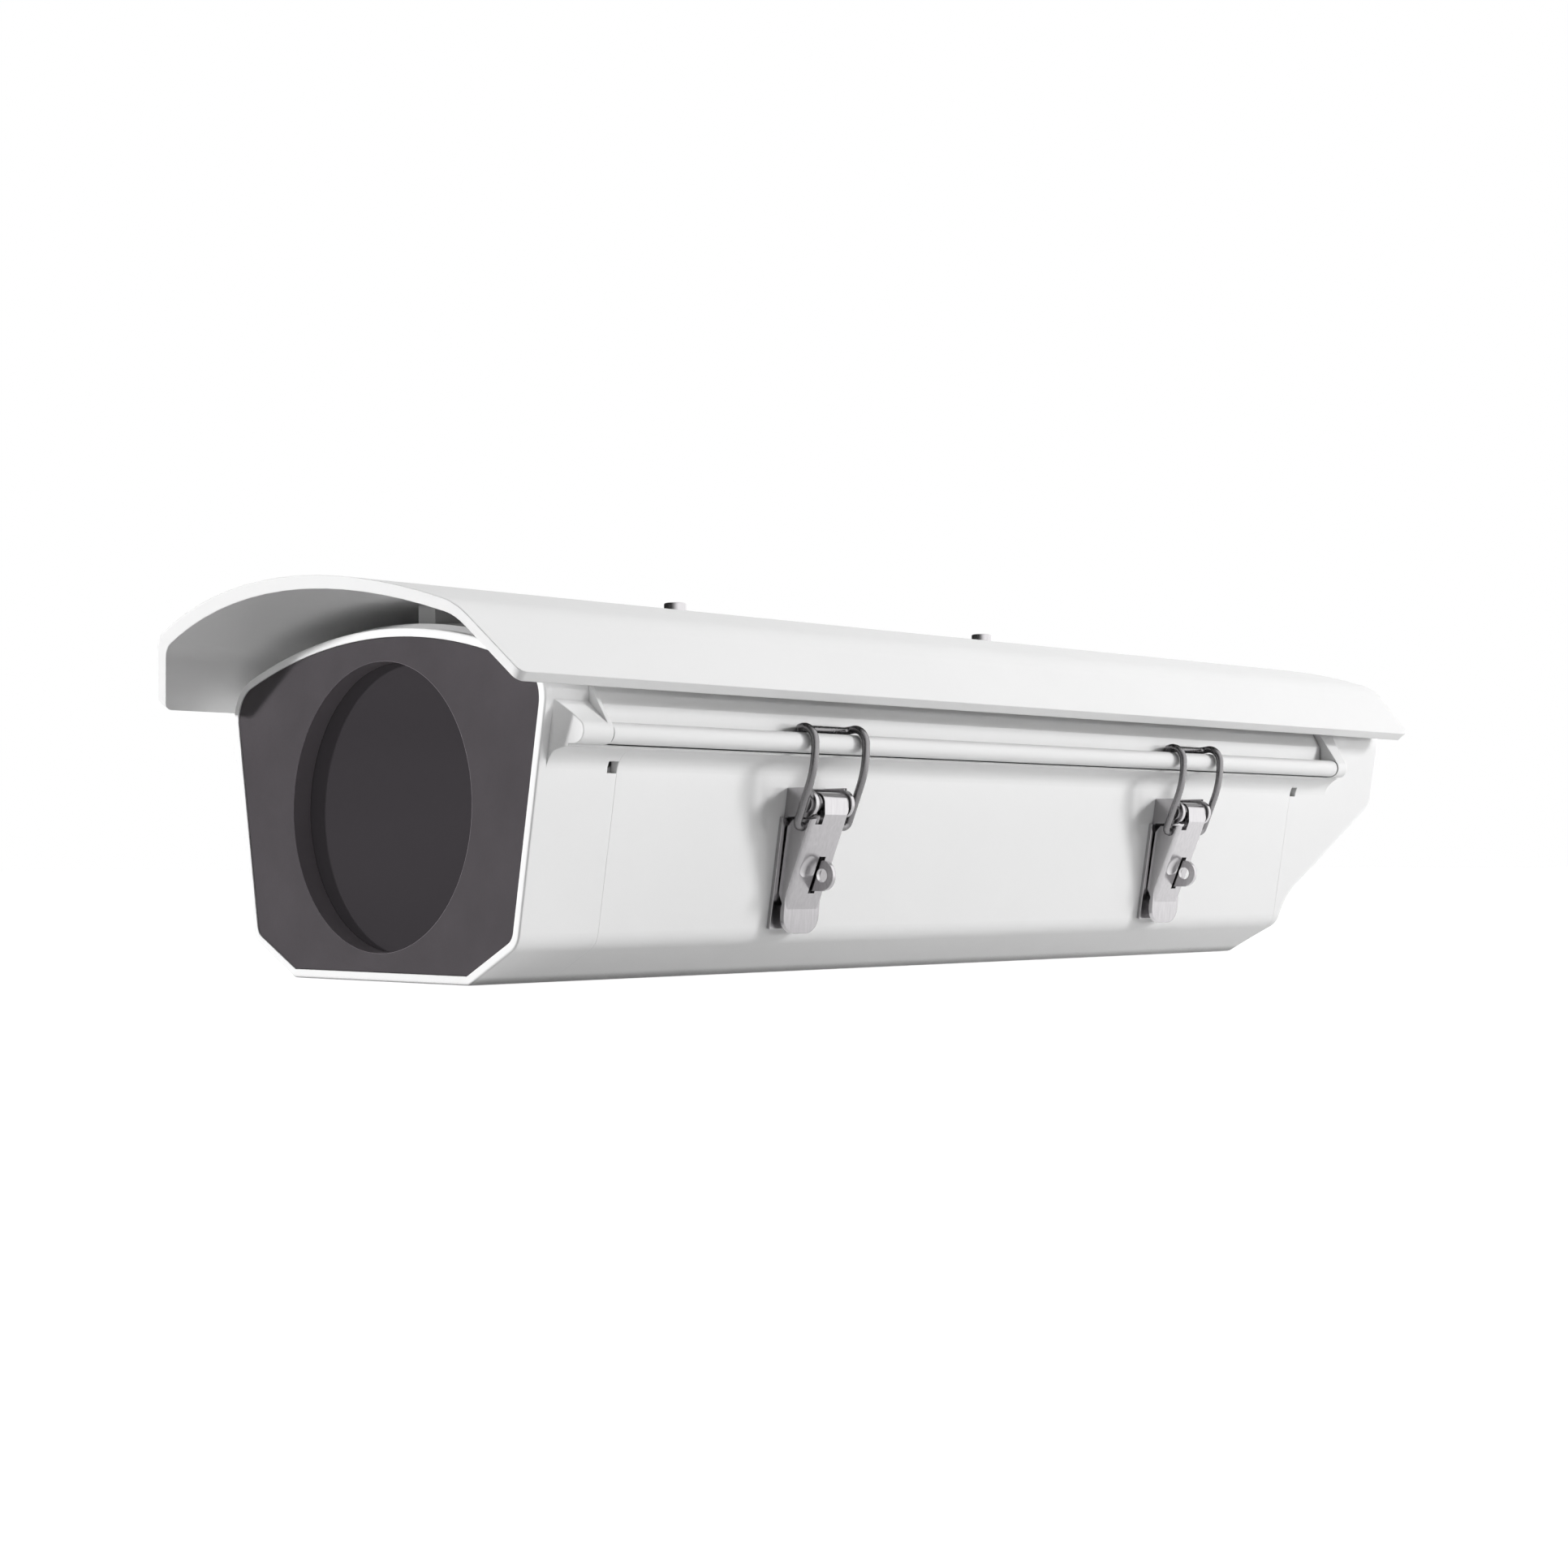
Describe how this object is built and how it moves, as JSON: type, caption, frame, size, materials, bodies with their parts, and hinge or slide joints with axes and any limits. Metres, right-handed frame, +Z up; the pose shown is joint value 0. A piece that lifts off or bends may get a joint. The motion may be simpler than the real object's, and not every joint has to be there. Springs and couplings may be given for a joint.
{
  "type": "security camera housing",
  "caption": "Long outdoor camera housing: case with round front window, side-hinged lid with latches, arched sunshield, sled and cable glands.",
  "frame": {"origin": "on the flat underside, at the centre of the four bracket holes", "axes": "+Z up, the window looks along -Y, the latches are on the +X side and the hinge on the -X side"},
  "size_m": [0.1632, 0.4418, 0.112],
  "materials": {
    "white_paint": "satin",
    "dark_plastic": "satin",
    "window_glass": "polished",
    "black_rubber": "matte",
    "grey_plastic": "fine grain",
    "plain_aluminium": "mill finish",
    "board_green": "lacquered",
    "block_plastic": "moulded",
    "black_plastic": "moulded",
    "steel_inserts": "zinc plated",
    "bright_steel": "bright"
  },
  "bodies": {
    "base": {"lower_body": "white_paint", "front_cap": "white_paint", "rear_cap": "white_paint", "front_panel": "dark_plastic", "window_glass": "window_glass", "glass_gasket": "black_rubber", "glass_retainer": "plain_aluminium", "retainer_screws": "bright_steel", "panel_screws": "bright_steel", "cap_screws_front": "bright_steel", "cap_screws_rear": "bright_steel", "lid_gasket": "black_rubber", "hinge_pin_front": "bright_steel", "hinge_pin_rear": "bright_steel", "latch_rivets": "bright_steel", "mount_inserts": "steel_inserts", "camera_sled": "plain_aluminium", "sled_spacers": "black_plastic", "sled_screws": "bright_steel", "camera_screw": "black_plastic", "terminal_board": "board_green", "board_spacers": "black_plastic", "board_screws": "bright_steel", "terminal_block": "block_plastic", "earth_screw": "bright_steel", "latch_base_front": "bright_steel", "latch_pin_front": "bright_steel", "latch_spring_front": "bright_steel", "latch_base_rear": "bright_steel", "latch_pin_rear": "bright_steel", "latch_spring_rear": "bright_steel", "gland_body_1": "grey_plastic", "gland_dome_1": "grey_plastic", "gland_seal_1": "black_rubber", "gland_locknut_1": "grey_plastic", "gland_body_2": "grey_plastic", "gland_dome_2": "grey_plastic", "gland_seal_2": "black_rubber", "gland_locknut_2": "grey_plastic", "gland_body_3": "grey_plastic", "gland_dome_3": "grey_plastic", "gland_seal_3": "black_rubber", "gland_locknut_3": "grey_plastic"},
    "lid": {"lid": "white_paint", "sunshield": "white_paint", "shield_screws": "bright_steel"},
    "lever_front": {"latch_lever_front": "bright_steel"},
    "bail_front": {"latch_bail_front": "bright_steel"},
    "lever_rear": {"latch_lever_rear": "bright_steel"},
    "bail_rear": {"latch_bail_rear": "bright_steel"}
  },
  "joints": [
    {"name": "lid_hinge", "type": "hinge", "parent": "base", "child": "lid", "pos_m": [-0.07495, 0.0108, 0.06572], "axis": [0, -1, 0], "range_deg": [0, 105]},
    {"name": "lever_front_hinge", "type": "hinge", "parent": "base", "child": "lever_front", "pos_m": [0.0735, -0.08, 0.0488], "axis": [0, -1, 0], "range_deg": [0, 100]},
    {"name": "bail_front_swing", "type": "hinge", "parent": "lever_front", "child": "bail_front", "pos_m": [0.0719, -0.08, 0.0423], "axis": [0, -1, 0], "range_deg": [-82, 0]},
    {"name": "lever_rear_hinge", "type": "hinge", "parent": "base", "child": "lever_rear", "pos_m": [0.0735, 0.0972, 0.0488], "axis": [0, -1, 0], "range_deg": [0, 100]},
    {"name": "bail_rear_swing", "type": "hinge", "parent": "lever_rear", "child": "bail_rear", "pos_m": [0.0719, 0.0972, 0.0423], "axis": [0, -1, 0], "range_deg": [-82, 0]}
  ],
  "couplings": [
    {"joint": "bail_front_swing", "follows": "lever_front_hinge", "ratio": -0.82},
    {"joint": "bail_rear_swing", "follows": "lever_rear_hinge", "ratio": -0.82}
  ]
}
